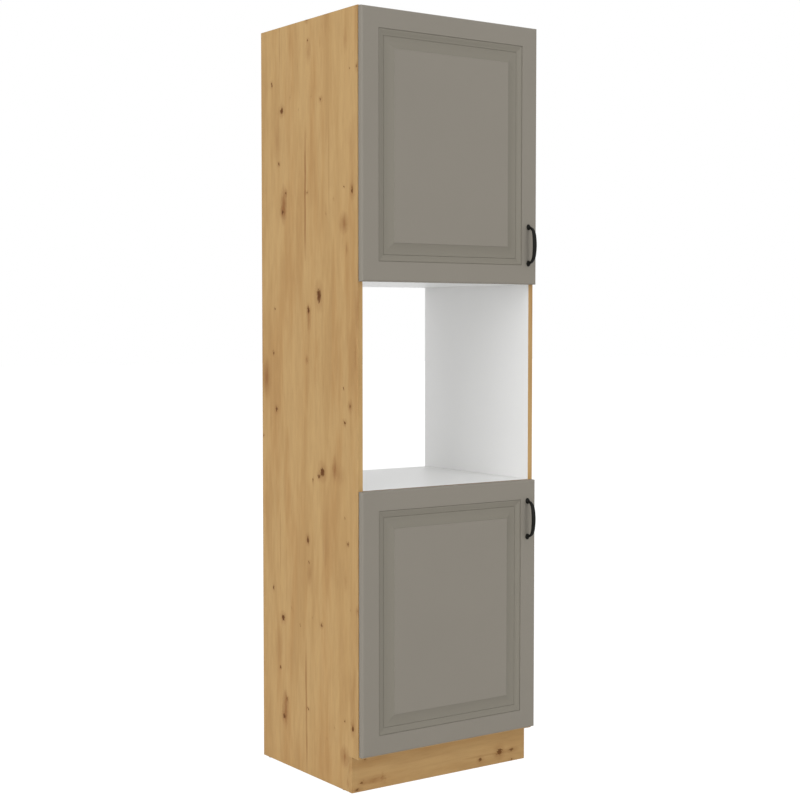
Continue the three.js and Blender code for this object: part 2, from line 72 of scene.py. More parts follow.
# Marks in the printed oak, whose pattern comes again after each REPEAT along the grain.
# Each is its place across and along the grain, its half width and half length, and the depth
# of its heart and of the stain round it. Across is from the front edge of a side, or up from
# the foot of the plinth. A streak has one depth. Sizes are in millimetres.
REPEAT = 1440
SIDE_KNOTS = (
    (52, 25, 3, 10, 0, 0.5), (65, 94, 12, 15, 0, 0.8), (155, 124, 3, 3, 0.5, 0.2),
    (383, 141, 8, 9, 0.8, 0.5), (376, 162, 9, 27, 0, 1.1), (117, 162, 3, 4, 0.4, 0.2),
    (26, 179, 6, 12, 0.9, 0.7), (252, 188, 5, 4, 0.8, 0.5), (66, 192, 4, 4, 0.8, 0.3),
    (365, 194, 6, 6, 0.7, 0.5), (25, 264, 9, 55, 0, 0.35), (402, 278, 5, 4, 0.9, 0.5),
    (409, 347, 10, 40, 0, 0.35), (295, 419, 3, 3, 0.6, 0.2), (386, 425, 10, 10, 1, 0.6),
    (181, 435, 6, 6, 0.8, 0.6), (340, 458, 3, 4, 0.5, 0.2), (229, 448, 3, 3, 0.5, 0.2),
    (37, 499, 3, 3, 0.7, 0.2), (4, 500, 4, 8, 0.6, 0.6), (440, 505, 5, 8, 0.8, 0.4),
    (244, 573, 7, 18, 0, 0.45), (59, 576, 5, 17, 0, 0.4), (247, 603, 4, 4, 0.8, 0.4),
    (252, 665, 6, 10, 1, 0.7), (158, 661, 12, 70, 0, 0.3), (48, 675, 6, 5, 0.9, 0.5),
    (63, 743, 3, 3, 0.7, 0.2), (224, 831, 3, 8, 0.9, 0.3), (193, 846, 8, 7, 0.9, 0.4),
    (97, 858, 16, 16, 0, 0.4), (176, 859, 13, 15, 1.1, 0.6), (113, 876, 6, 16, 0, 0.8),
    (493, 942, 5, 5, 0.8, 0.3), (63, 1001, 6, 6, 1, 0.5), (419, 1022, 7, 8, 1, 0.6),
    (37, 1046, 6, 10, 0.6, 0.7), (69, 1093, 3, 3, 0.8, 0.2), (473, 1110, 12, 28, 0, 0.9),
    (254, 1166, 5, 7, 0.5, 0.6), (11, 1181, 3, 28, 0, 0.5), (434, 1183, 5, 5, 1, 0.4),
    (244, 1276, 6, 18, 0, 0.7), (246, 1304, 7, 10, 1.1, 0.7), (426, 1309, 4, 4, 0.9, 0.2),
    (2, 1315, 9, 50, 0, 0.4), (191, 1343, 12, 22, 1.1, 0.6),
)
SIDE_STREAKS = (
    (262, 185, 6, 200, 0.85), (399, 650, 3, 130, 0.5), (139, 240, 2, 160, 0.4),
)
PLINTH_KNOTS = (
    (26, -268, 5, 7, 0.8, 0.5), (9, -283, 4, 8, 0.8, 0.5), (28, -227, 6, 18, 0, 0.6),
    (31, -200, 7, 3, 0.4, 0.6), (24, -192, 6, 2, 0.4, 0.4), (36, 208, 12, 11, 1, 0.7),
    (35, 252, 6, 12, 0.8, 0.5), (24, 138, 7, 7, 0.9, 0.5), (6, 252, 5, 7, 0.7, 0.4),
    (88, -258, 4, 5, 0.6, 0.4),
)
PLINTH_STREAKS = (
    (32, 160, 4, 90, 0.4), (60, -60, 6, 120, 0.2),
)

# The print itself. Each noise has how often it changes in a metre across and along the grain,
# a shift, its detail and its roughness. Each layer has its noise, the level past which it
# shows, the blur there, which is negative where it shows below it, its share and its tone.
OAK_NOISES = {
    "sway": (7, 2.2, 0.0, 2.0, 0.5), "staves": (10, 0.7, 0.0, 2.0, 0.5),
    "clouds": (17, 2.4, 2.3, 3.0, 0.6), "mottle": (70, 11, 4.9, 3.0, 0.6),
    "bands": (48, 1.3, 3.1, 2.0, 0.5), "fibres": (420, 14, 7.7, 3.0, 0.6),
    "pores": (300, 24, 1.3, 1.0, 0.5), "ragged": (190, 75, 5.0, 4.0, 0.7),
    "specks": (330, 130, 9.0, 2.0, 0.5),
}
OAK_LAYERS = (
    ("staves", 0.50, 0.05, 1.00, "oak_rose"), ("clouds", 0.50, 0.12, 0.80, "oak_pale"),
    ("clouds", 0.42, -0.10, 0.15, "oak_line"), ("bands", 0.42, -0.12, 0.10, "oak_line"),
    ("bands", 0.58, 0.12, 0.16, "oak_pale"), ("mottle", 0.52, 0.18, 0.16, "oak_line"),
    ("fibres", 0.55, 0.20, 0.05, "oak_line"),
)

# A knot's heart ends this many half sizes from its middle, and its stain thins out by this
# much with each of them.
HEART_REACH = 1.25
STAIN_FADE = 0.42

# How deep a face's finish goes, half the width of the line where two meet, the oak band on a
# front edge, how far its glue line is from the corner, which is also the depth of the painted
# shadow along the top of a front band, and the band of painted shadow on a door's rear arris.
SKIN = 0.0003
BLUR = 0.0001
BANDING = 0.0008
GLUE_LINE_AND_SHADOW = 0.0010
PAINTED_ARRIS_SHADOW = 0.0018

# From a door's edge to its routing, in millimetres.
DOOR_FRAME = 53.3

# Half a bow handle as (out from the door, along it), in shares of its reach and of half its
# hole spacing: the control points of the leg and of the crown, each with its steps.
BOW = (
    (((0.15, 1.04), (0.64, 1.02), (0.90, 0.82), (0.95, 0.42)), 22),
    (((0.95, 0.42), (0.983, 0.273), (1.0, 0.133), (1.0, 0.0)), 10),
)

# A handle's foot as (height, girth), in shares of its full height and size, the share of its
# splay that it loses on the way up, and its width as a share of the grip's.
FOOT_RINGS = ((0.0, 0.88), (0.03, 0.95), (0.10, 0.995), (0.20, 1.0), (0.34, 0.97), (0.50, 0.89),
              (0.66, 0.78), (0.82, 0.67))
FOOT_LEAN = 0.6
FOOT_WIDTH = 0.97

# Turned fittings as (radius, height) in millimetres.
PIN_PROFILE = ((0, -8.7), (1.8, -8.7), (2.4, -8.1), (2.4, 0.3), (4.7, 0.3), (5.0, 0.6), (5.0, 1.5),
               (4.7, 1.8), (3.0, 1.8), (3.0, 7.4), (2.8, 7.8), (2.4, 8.0), (0, 8.0))
GLIDE_PROFILE = ((0, 0), (5.8, 0), (6.5, 0.2), (6.9, 0.6), (7.0, 1.1), (7.0, 1.7), (1.2, 1.7),
                 (1.2, 14.0), (0, 16.0))
BUMPER_PROFILE = ((0, 0), (3.9, 0), (4.0, 0.2), (3.85, 0.8), (3.3, 1.3), (2.4, 1.6), (1.2, 1.7),
                  (0, 1.7))
SCREW_SHANK = ((0, -22.3), (1.4, -22.3), (1.9, -21.8), (1.9, 0.3), (0, 0.3))

# A screw head under its flat top, as (radius, height) in shares of its own.
HEAD_CROWN = ((0.95, 0.9), (1.0, 0.68), (1.0, 0.0))

# Sides of a round form, and how near two points count as one, or as on one face.
ROUND = 28
MERGE = 1e-6
NEAR = 1e-5


def from_srgb(red, green, blue):
    """A colour as it looks on a screen, 0 to 255, as scene-linear values."""
    return tuple(((level / 255 + 0.055) / 1.055) ** 2.4 if level > 10 else level / 3295
                 for level in (red, green, blue))


NICKEL = from_srgb(203, 201, 195)
ZINC = from_srgb(188, 191, 196)
BROWN_PLASTIC = from_srgb(111, 90, 68)
CLEAR_SILICONE = from_srgb(216, 218, 219)

# Which face of a board its cam fittings look out of, 1 up and -1 down, and how far they
# stand from the board's front edge.
CAM_FACES = {"top_panel": 1, "niche_top_panel": 1, "oven_shelf": -1, "bottom_panel": -1}
CAM_DEPTHS = (0.052, 0.420)

# The parts of a hinge with their slots. Then its screw heads: their name, the part that holds
# them, their slot and height, and each one's place, in millimetres from the side's inner
# face, the carcass's front edge and the middle of the hinge, and the way it faces.
HINGE_PARTS = {"mounting_plate": "nickel_plate", "arm": "nickel_plate", "cup": "nickel_plate",
               "outer_link": "zinc_plate", "inner_link": "zinc_plate"}
HINGE_SCREWS = (
    ("plate", "mounting_plate", "nickel_plate", 0.0014,
     (((2.5, 37, -16), (1, 0, 0)), ((2.5, 37, 16), (1, 0, 0)))),
    ("arm", "arm", "zinc_plate", 0.0012,
     (((18.38, 38, 0), (0.966, 0.260, 0)), ((16.06, 50, 0), (0.996, 0.088, 0)))),
    ("cup", "cup", "nickel_plate", 0.0009,
     (((16, -1.05, -23.6), (0, 1, 0)), ((16, -1.05, 23.6), (0, 1, 0)))),
)

# A plinth bracket: its place across the cabinet, its arms, its wall, its gap to the boards,
# and how far along an arm its screw is, with the head's radius and height.
BRACKET_PLACE = 0.2
BRACKET_ARM = 0.026
BRACKET_WALL = 0.0025
BRACKET_GAP = 0.0001
BRACKET_SCREW = 0.015
BRACKET_HEAD = (0.0036, 0.0016)

# Each lamp as the way to it from the cabinet and how wide it is, in degrees.
LAMPS = {"key": ((0.25, -1, 1.0), 9), "front": ((0.05, -1, 0.08), 22),
         "fill": ((-0.96, -0.25, 0.20), 60)}
LAMP_DISTANCE = 4
FLOOR_REACH = 40

# The floor's two tones, and how brightly and how much it glows where it is the backdrop.
FLOOR_TONES = ((0.86, 0.86, 0.86), (0.84, 0.84, 0.84))
FLOOR_GLOW = 1.16
FLOOR_GLOW_SHARE = 0.86


# ---- Settings ----

def tone(name, description, *levels):
    """A setting for a colour, whose default is given as it looks on a screen."""
    return FloatVectorProperty(name=name, description=description, default=from_srgb(*levels),
                               min=0, max=1, subtype="COLOR")


def length(name, description, default, least, most):
    """A setting for a length in metres."""
    return FloatProperty(name=name, description=description, default=default, min=least,
                         max=most, unit="LENGTH")


class OvenHousingFinish(bpy.types.PropertyGroup):
    """Colours of the boards, the doors and the ironwork."""

    oak: tone("Oak", "Main tone of the oak print", 189, 153, 102)
    oak_rose: tone("Oak Rose", "Warmer bands in the oak print", 185, 146, 95)
    oak_pale: tone("Oak Pale", "Paler bands in the oak print", 196, 162, 111)
    oak_line: tone("Oak Line", "Fibres and streaks", 154, 118, 76)
    oak_stain: tone("Oak Stain", "Brown stains round the knots", 146, 102, 60)
    oak_knot: tone("Oak Knot", "Hearts of the knots", 102, 62, 28)
    melamine: tone("White Melamine", "Faces inside the cabinet", 246, 246, 245)
    clay: tone("Clay Foil", "Faces of the doors", 139, 133, 122)
    chipboard: tone("Chipboard", "Raw rear and upper edges", 190, 164, 124)
    hardboard: tone("Hardboard", "Rear of the back panels", 150, 112, 76)
    iron: tone("Black Iron", "Handles", 17, 16, 11)


class OvenHousingSizes(bpy.types.PropertyGroup):
    """Sizes of the details that this file adds."""

    board_ease: length("Board Edge", "Radius on the long edges of a board", 0.0006, 0.0001, 0.002)
    hole_spacing: length("Hole Spacing", "Between the two screws of a handle", 0.096, 0.064, 0.16)
    foot_height: length("Foot Height", "Height of a handle's foot", 0.0075, 0.003, 0.012)
    foot_splay: length("Foot Splay", "How far a handle's foot leans out past its screw",
                       0.0035, 0, 0.008)
    neck_share: FloatProperty(
        name="Neck", description="Girth of a handle's neck, as a share of its middle",
        default=0.56, min=0.2, max=1, subtype="FACTOR")
    grip_thickness: length("Grip Thickness", "Half the thickness of a handle at its middle",
                           0.0041, 0.002, 0.008)
    plate_screw_radius: length("Plate Screw", "Head radius of the screws in a mounting plate",
                               0.0042, 0.001, 0.006)
    cup_screw_radius: length("Cup Screw", "Head radius of the screws in a hinge cup",
                             0.0034, 0.001, 0.006)
    arm_screw_radius: length("Arm Screw", "Head radius of the adjusting screws in a hinge arm",
                             0.0030, 0.001, 0.006)
    cam_radius: length("Cam Fitting", "Radius of the round cam fittings", 0.0075, 0.003, 0.012)
    cam_recess: length("Cam Recess", "Depth of the bore that shows round a cam fitting",
                       0.0010, 0.0004, 0.003)
    bracket_width: length("Plinth Bracket", "Width of the corner brackets behind the plinth",
                          0.032, 0.01, 0.06)
    cam_inset: length("Cam Inset", "From the end of a board to the middle of its cams",
                      0.034, 0.02, 0.06)
    cup_bore: length("Cup Bore", "Radius of the bore for a hinge cup", 0.01755, 0.0175, 0.019)
    cup_depth: length("Cup Depth", "Depth of the bore for a hinge cup", 0.0119, 0.0115, 0.014)
    cup_inset: length("Cup Inset", "From the edge of a door to the middle of a hinge cup",
                      0.0215, 0.02, 0.026)
    hinge_inset: length("Hinge Inset", "From the end of a door to the middle of a hinge",
                        0.1, 0.05, 0.2)


class OvenHousingStudio(bpy.types.PropertyGroup):
    """Camera and lamps."""

    camera_place: FloatVectorProperty(
        name="Camera", description="Where the camera stands", subtype="TRANSLATION",
        default=(-2.5954, -3.6755, 1.2653))
    camera_heading: FloatProperty(
        name="Heading", description="Turn of the camera about the upright axis", subtype="ANGLE",
        default=-0.6139)
    camera_dip: FloatProperty(
        name="Dip", description="How far the camera looks down", subtype="ANGLE",
        default=0.0484)
    lens: FloatProperty(
        name="Lens", description="Focal length on a 36 mm sensor, in millimetres",
        default=70.56, min=10, max=200, unit="CAMERA")
    key_strength: FloatProperty(
        name="Key Lamp", description="Strength of the lamp above the front",
        default=0.24, min=0)
    front_strength: FloatProperty(
        name="Front Lamp", description="Strength of the soft lamp before the doors",
        default=0.58, min=0)
    fill_strength: FloatProperty(
        name="Fill Lamp", description="Strength of the softer lamp on the left",
        default=1.6, min=0)
    daylight: FloatProperty(
        name="Daylight", description="Strength of the even light all round",
        default=0.56, min=0, max=2)


# ---- Shader maths ----

class Field:
    """A shader socket that can stand in a Python expression."""

    def __init__(self, graph, socket):
        self.graph = graph
        self.socket = socket

    def __add__(self, other):
        return self.graph.maths("ADD", self, other)

    def __sub__(self, other):
        return self.graph.maths("SUBTRACT", self, other)

    def __rsub__(self, other):
        return self.graph.maths("SUBTRACT", other, self)

    def __mul__(self, other):
        return self.graph.maths("MULTIPLY", self, other)

    def __truediv__(self, other):
        return self.graph.maths("DIVIDE", self, other)

    def __abs__(self):
        return self.graph.maths("ABSOLUTE", self)

    __radd__ = __add__
    __rmul__ = __mul__


class Graph:
    """The nodes of a material or of the world, made through one method."""

    def __init__(self, owner):
        self.owner = owner
        owner.use_nodes = True
        self.tree = owner.node_tree
        self.tree.nodes.clear()

    def node(self, kind, settings=None, inputs=None, output=0):
        made = self.tree.nodes.new(kind)
        for name, value in (settings or {}).items():
            setattr(made, name, value)
        for name, value in (inputs or {}).items():
            if isinstance(value, Field):
                self.tree.links.new(value.socket, made.inputs[name])
            else:
                made.inputs[name].default_value = value
        return Field(self, made.outputs[output]) if made.outputs else None

    def maths(self, operation, first, second=0.0, third=0.0, clamp=False):
        return self.node("ShaderNodeMath", {"operation": operation, "use_clamp": clamp},
                         {0: first, 1: second, 2: third})

    def clamped(self, value):
        return self.maths("ADD", value, clamp=True)

    def above(self, value, edge, blur):
        """0 below an edge and 1 past it, or the other way round where the blur is negative."""
        return self.node("ShaderNodeMapRange", {"interpolation_type": "SMOOTHSTEP"},
                         {0: value, 1: edge - blur, 2: edge + blur, 3: 0.0, 4: 1.0})

    def high_skin(self, value, face):
        """1 in the skin of a face at the high end of an axis."""
        return self.above(value, face - SKIN, BLUR)

    def low_skin(self, value, face):
        """1 in the skin of a face at the low end of an axis."""
        return self.above(value, face + SKIN, -BLUR)

    def mix(self, factor, first, second):
        colours = {slot: colour if isinstance(colour, Field) else (*colour, 1)
                   for slot, colour in ((6, first), (7, second))}
        return self.node("ShaderNodeMix", {"data_type": "RGBA"}, {0: factor, **colours}, output=2)

    def spot(self):
        """A point's place on the piece itself, in metres."""
        return self.node("ShaderNodeTexCoord", output="Object")

    def place(self):
        """That place as x, y and z."""
        spot = self.spot()
        return [self.node("ShaderNodeSeparateXYZ", inputs={0: spot}, output=axis)
                for axis in range(3)]

    def join(self, x, y, z=0.0):
        return self.node("ShaderNodeCombineXYZ", inputs={0: x, 1: y, 2: z})

    def noise(self, scale, detail=2.0, roughness=0.5, spot=None):
        return self.node("ShaderNodeTexNoise", inputs={
            "Vector": spot or self.spot(), "Scale": scale, "Detail": detail,
            "Roughness": roughness})

    def backdrop_rays(self):
        """1 for what the camera sees, also in gloss and through what is clear."""
        return longest(*(self.node("ShaderNodeLightPath", output=ray) for ray in (
            "Is Camera Ray", "Is Glossy Ray", "Is Transmission Ray")))

    def surface(self, colour, rough, height, depth, gloss=0.5, metal=0.0, clear=0.0):
        """Ends a material: what varies over it, its relief's depth and its constants."""
        relief = self.node("ShaderNodeBump", inputs={
            "Strength": 1.0, "Distance": depth, "Height": height})
        shader = self.node("ShaderNodeBsdfPrincipled", inputs={
            "Base Color": colour, "Roughness": rough, "Normal": relief,
            "Specular IOR Level": gloss, "Metallic": metal, "Transmission Weight": clear})
        self.node("ShaderNodeOutputMaterial", inputs={"Surface": shader})
        return self.owner


def new_graph(name):
    return Graph(bpy.data.materials.new(name))


def node_graph(name, node):
    """A new material's graph, x, y and z on the piece, and the corners of its node."""
    graph = new_graph(name)
    return graph, *graph.place(), *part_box(node)


def longest(first, *others):
    """The greatest of several fields, at each point."""
    for other in others:
        first = first.graph.maths("MAXIMUM", first, other)
    return first


def shade(tone, share):
    """A darker or lighter shade of a colour, which is not past white."""
    return [min(level * share, 1) for level in tone]


# ---- Finishes ----

def oak_marks(graph, across, side, along, ragged, knots, streaks):
    """How deep the hearts, and the stains and streaks, of the oak are at each point."""
    round_again = graph.maths("MODULO", along, REPEAT / 1000)
    spot = graph.join(across + ragged * 0.014, round_again + ragged * 0.030)
    hearts, stains = 0.0, 0.0
    for *sizes, heart, stain in knots:
        across_at, along_at, wide, long = (size / 1000 for size in sizes)
        away = graph.node("ShaderNodeVectorMath", {"operation": "MULTIPLY_ADD"}, {
            0: spot, 1: (1 / wide, 1 / long, 0), 2: (-across_at / wide, -along_at / long, 0)})
        far = graph.node("ShaderNodeVectorMath", {"operation": "LENGTH"}, {0: away}, output="Value")
        if heart:
            hearts = hearts + graph.maths("SUBTRACT", HEART_REACH, far, clamp=True) * heart
        stains = stains + graph.maths("MULTIPLY_ADD", far, -STAIN_FADE, 1.0, clamp=True) * stain
    for *sizes, stain in streaks:
        across_at, along_at, wide, long = (size / 1000 for size in sizes)
        off = abs(side - across_at) / wide
        run = abs(round_again - along_at) / long
        stains = stains + (graph.maths("SUBTRACT", 1.0, off, clamp=True)
                           * graph.maths("MULTIPLY_ADD", run, -2.0, 2.0, clamp=True) * stain)
    return hearts, stains


def oak_colour(graph, finish, across, along, knots=(), streaks=()):
    """Colour, relief and fibres of printed oak, with its grain along one direction."""
    def noise(name, across):
        wide, long, shift, detail, roughness = OAK_NOISES[name]
        return graph.noise(1.0, detail, roughness, graph.join(across * wide, along * long, shift))

    side = across + (noise("sway", across) - 0.5) * 0.018
    grain = {name: noise(name, side) for name in ("staves", "clouds", "mottle", "bands", "fibres")}
    pores = graph.above(noise("pores", side), 0.66, 0.06)
    colour = finish.oak
    for name, level, blur, share, tone in OAK_LAYERS:
        layer = graph.above(grain[name], level, blur) * share
        colour = graph.mix(layer, colour, getattr(finish, tone))
    colour = graph.mix(pores * 0.12, colour, finish.oak_line)
    relief = grain["fibres"] * 0.6 - pores * 0.5
    if knots:
        hearts, stains = oak_marks(graph, across, side, along, noise("ragged", across) - 0.5,
                                   knots, streaks)
        blotched = stains * (grain["mottle"] * 1.2 + grain["fibres"] * 1.4 - 0.35)
        colour = graph.mix(graph.clamped(blotched), colour, finish.oak_stain)
        speckled = hearts + (noise("specks", across) - 0.5) * graph.clamped(hearts) * 2.0
        colour = graph.mix(graph.above(speckled, 0.5, 0.22), colour, finish.oak_knot)
        relief = relief - graph.clamped(hearts) * 0.6
    return colour, relief, grain["fibres"]


def chipboard_colour(graph, finish):
    """Colour and chips of a sawn chipboard edge."""
    x, y, z = graph.place()
    chips = graph.node("ShaderNodeTexVoronoi", {"feature": "F1"}, {
        "Vector": graph.join(x * 2.2, y, z * 0.8), "Scale": 520.0}, output="Color")
    tone = graph.node("ShaderNodeSeparateColor", inputs={0: chips})
    dust = graph.noise(90.0, detail=3.0)
    colour = graph.mix(tone, shade(finish.chipboard, 0.62), shade(finish.chipboard, 1.25))
    return graph.mix(dust * 0.4, colour, finish.chipboard), tone


def melamine_colour(graph, finish):
    """Colour and pearl relief of white melamine."""
    pearl = graph.noise(1500.0)
    cloud = graph.noise(7.0)
    colour = graph.mix(cloud * 0.35 + pearl * 0.15, finish.melamine, shade(finish.melamine, 0.95))
    return colour, pearl


def side_board_material(name, finish, node):
    """Oak outside and on the front edge, melamine inside, chipboard where the saw left it."""
    graph, x, y, z, low, high = node_graph(name, node)
    inner, outer = sorted((abs(low.x), abs(high.x)))
    colour, relief, fibres = oak_colour(
        graph, finish, y - low.y + (abs(x) - outer) * 0.9, z, SIDE_KNOTS, SIDE_STREAKS)
    white, pearl = melamine_colour(graph, finish)
    raw, chips = chipboard_colour(graph, finish)
    inside = graph.low_skin(abs(x), inner)
    sawn = longest(graph.high_skin(y, high.y), graph.high_skin(z, high.z),
                   graph.low_skin(z, low.z))
    seam = graph.above(abs(y - (low.y + GLUE_LINE_AND_SHADOW)), 0.00012, -BLUR)
    colour = graph.mix(seam * 0.35, colour, finish.oak_line)
    colour = graph.mix(inside, graph.mix(sawn, colour, raw), white)
    rough = 0.52 + fibres * 0.12 - inside * 0.16 + sawn * 0.3
    height = relief * (1 - inside) * (1 - sawn) + pearl * inside * 0.12 + chips * sawn * 1.5
    return graph.surface(colour, rough, height, 0.00007, gloss=0.1)


def plinth_material(name, finish):
    """Oak with its grain across the cabinet, painted a little darker as shade under the doors."""
    graph, x, y, z, low, high = node_graph(name, "plinth_board")
    colour, relief, fibres = oak_colour(
        graph, finish, z + (y - low.y) * 0.8, x, PLINTH_KNOTS, PLINTH_STREAKS)
    raw, chips = chipboard_colour(graph, finish)
    sawn = longest(graph.high_skin(z, high.z), graph.low_skin(z, low.z))
    # Painted shade: the plinth's oak is mixed a seventh of the way towards the line tone, darkening
    # it as if in the shade of the doors.
    colour = graph.mix(sawn, graph.mix(0.14, colour, finish.oak_line), raw)
    rough = 0.54 + fibres * 0.12 + sawn * 0.3
    height = relief * (1 - sawn) + chips * sawn * 1.5
    return graph.surface(colour, rough, height, 0.00007, gloss=0.1)


def white_board_material(name, finish, node):
    """Melamine with an oak band on the front edge, painted shadow along that band's top, and sawn
    rear and ends.
    """
    graph, x, y, z, low, high = node_graph(name, node)
    oak, relief, fibres = oak_colour(graph, finish, z + y * 0.7, x)
    white, pearl = melamine_colour(graph, finish)
    raw, chips = chipboard_colour(graph, finish)
    band = graph.above(y, low.y + BANDING, -BLUR)
    # Painted shadow: the top millimetre of each front band is darkened almost to black-brown,
    # standing in for the shade in the gap above a door.
    painted_band_shadow = graph.above(z, high.z - GLUE_LINE_AND_SHADOW, 0.0002)
    oak = graph.mix(painted_band_shadow * 0.75, oak, shade(finish.oak_line, 0.2))
    sawn = longest(graph.high_skin(y, high.y), graph.high_skin(abs(x), high.x))
    colour = graph.mix(band, graph.mix(sawn, white, raw), oak)
    rough = 0.38 + band * 0.16 + sawn * 0.4
    height = relief * band + pearl * (1 - band) * 0.12 + chips * sawn * (1 - band) * 1.5
    return graph.surface(colour, rough, height, 0.00006)


def back_panel_material(name, finish, node):
    """Thin board: white towards the cupboard, brown and fibrous behind."""
    graph, x, y, z, _, high = node_graph(name, node)
    white, pearl = melamine_colour(graph, finish)
    felt = graph.noise(700.0, detail=4.0, roughness=0.7)
    screen = graph.maths("SINE", x * 2600) * graph.maths("SINE", z * 2600)
    brown = graph.mix(felt, shade(finish.hardboard, 0.6), shade(finish.hardboard, 1.35))
    behind = graph.above(y, high.y - 0.0006, 0.0002)
    colour = graph.mix(behind, white, brown)
    height = pearl * (1 - behind) * 0.1 + (felt * 0.7 + screen * 0.3) * behind
    return graph.surface(colour, 0.42 + behind * 0.4, height, 0.00012)


def door_material(name, finish, node):
    """Matt clay foil over the front and the edges, white melamine on the back, with painted
    shade in the routed grooves and painted shadow along the rear arris.
    """
    graph, x, y, z, low, high = node_graph(name, node)
    white, pearl = melamine_colour(graph, finish)
    silk = graph.noise(1900.0)
    cloud = graph.noise(5.0, detail=3.0)
    clay = graph.mix(cloud * 0.5 + silk * 0.25, finish.clay, shade(finish.clay, 0.9))
    inset = graph.maths("MINIMUM", graph.maths("MINIMUM", x - low.x, high.x - x),
                        graph.maths("MINIMUM", z - low.z, high.z - z))
    # Painted shade: where the routing sinks deeper than a millimetre, the foil is darkened towards
    # a greener grey, standing in for the shade inside the grooves.
    routed = graph.above(inset, DOOR_FRAME / 1000, 0.0002) * graph.above(y, low.y + 0.0010, 0.0005)
    painted_groove_shade = [level * share for level, share in zip(finish.clay, (0.80, 0.81, 0.77))]
    clay = graph.mix(routed * 0.68, clay, painted_groove_shade)
    # Painted shadow: the foil along the door's rear arris is darkened to a third, standing in for
    # the shade in the gap between the door and the carcass.
    painted_arris_shadow = graph.above(y, high.y - PAINTED_ARRIS_SHADOW, 0.0004)
    clay = graph.mix(painted_arris_shadow, clay, shade(finish.clay, 0.35))
    back = graph.high_skin(y, high.y)
    colour = graph.mix(back, clay, white)
    rough = 0.5 + silk * 0.08 + cloud * 0.05 - back * 0.1
    height = silk * (1 - back) * 0.35 + pearl * back * 0.12
    return graph.surface(colour, rough, height, 0.00006, gloss=0.4)


def iron_material(name, finish):
    """Black lacquered iron with a faint hammered skin."""
    graph = new_graph(name)
    skin = graph.noise(260.0, detail=3.0)
    grit = graph.noise(2400.0)
    colour = graph.mix(skin * 0.6, finish.iron, shade(finish.iron, 0.55))
    return graph.surface(colour, 0.34 + grit * 0.12 + skin * 0.08, skin * 0.6 + grit * 0.25,
                         0.00012, gloss=0.14)


def plated_material(name, tone, rough, brushing):
    """Plated steel with fine brushing along the hinge."""
    graph = new_graph(name)
    x, y, z = graph.place()
    lines = graph.noise(1.0, spot=graph.join(x * brushing, y * 90, z * brushing))
    blotch = graph.noise(55.0)
    colour = graph.mix(lines * 0.5, tone, shade(tone, 0.82))
    return graph.surface(colour, rough + lines * 0.1 + blotch * 0.06, lines, 0.00003, metal=1.0)


def moulded_material(name, tone, rough, clear=0.0):
    """Moulded plastic or rubber with a spark-eroded skin."""
    graph = new_graph(name)
    spark = graph.noise(2200.0)
    cloud = graph.noise(160.0, detail=1.0)
    colour = graph.mix(cloud * 0.5, tone, shade(tone, 0.86))
    return graph.surface(colour, rough + spark * 0.1, spark, 0.00004, clear=clear)


# ---- Modelling ----

def piece(name, shape, body, material, stands_for=(), sharp=30, soften=0.0):
    """Makes a finished mesh into an object that rides on a body of the model.

    It is smooth but for edges past an angle, and soften is the width of a bevel on them.
    """
    bmesh.ops.recalc_face_normals(shape, faces=shape.faces)
    mesh = bpy.data.meshes.new(name)
    shape.to_mesh(mesh)
    shape.free()
    mesh.materials.append(material)
    mesh.shade_smooth()
    mesh.set_sharp_from_angle(angle=math.radians(sharp))
    made = bpy.data.objects.new(name, mesh)
    bpy.context.scene.collection.objects.link(made)
    if soften:
        soft = made.modifiers.new("Soft Edges", "BEVEL")
        soft.width, soft.segments, soft.limit_method = soften, 2, "ANGLE"
        soft.angle_limit = math.radians(40)
    made.modifiers.new("Flat Faces", "WEIGHTED_NORMAL").keep_sharp = True
    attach(made, body)
    if stands_for:
        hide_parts(*stands_for)
    return made


def packed_copy(node, whole_flats=True):
    """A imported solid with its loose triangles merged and, where asked, its flats made whole."""
    shape = bmesh.new()
    shape.from_mesh(frame["nodes"][node].data)
    bmesh.ops.remove_doubles(shape, verts=shape.verts, dist=MERGE)
    if whole_flats:
        bmesh.ops.dissolve_limit(shape, angle_limit=math.radians(0.5), verts=shape.verts,
                                 edges=shape.edges)
    return shape


def body_of(node):
    bodies = frame["record"]["behaviour"]["bodies"]
    return next(body for body, nodes in bodies.items() if node in nodes)


def facing(place, direction):
    """A matrix that puts z along a direction at a place."""
    turn = Vector((0, 0, 1)).rotation_difference(Vector(direction))
    return Matrix.Translation(place) @ turn.to_matrix().to_4x4()


def loop_of(ring):
    """The edges at a ring of vertices, each once and always in the same order."""
    return list(dict.fromkeys(edge for vertex in ring for edge in vertex.link_edges))


def new_ring(shape, edges):
    """Extrudes a loop of edges; gives the new vertices and the new loop."""
    grown = bmesh.ops.extrude_edge_only(shape, edges=edges)["geom"]
    ring = [part for part in grown if isinstance(part, bmesh.types.BMVert)]
    return ring, [part for part in grown if isinstance(part, bmesh.types.BMEdge)
                  and all(vertex in ring for vertex in part.verts)]


def bored(shape, direction, places, radius, depth):
    """Sinks round bores into the widest flat face that looks along a direction."""
    face = max((face for face in shape.faces if face.normal.dot(direction) > 0.999),
               key=lambda face: face.calc_area())
    rim = list(face.edges)
    bmesh.ops.delete(shape, geom=[face], context="FACES_ONLY")
    rings = []
    for place in places:
        circle = bmesh.ops.create_circle(shape, cap_ends=False, radius=radius, segments=ROUND,
                                         matrix=facing(place, direction))["verts"]
        rings += loop_of(circle)
    bmesh.ops.triangle_fill(shape, use_beauty=True, edges=rim + rings, normal=direction)
    floor, floor_edges = new_ring(shape, rings)
    bmesh.ops.translate(shape, vec=direction * -depth, verts=floor)
    bmesh.ops.edgeloop_fill(shape, edges=floor_edges)


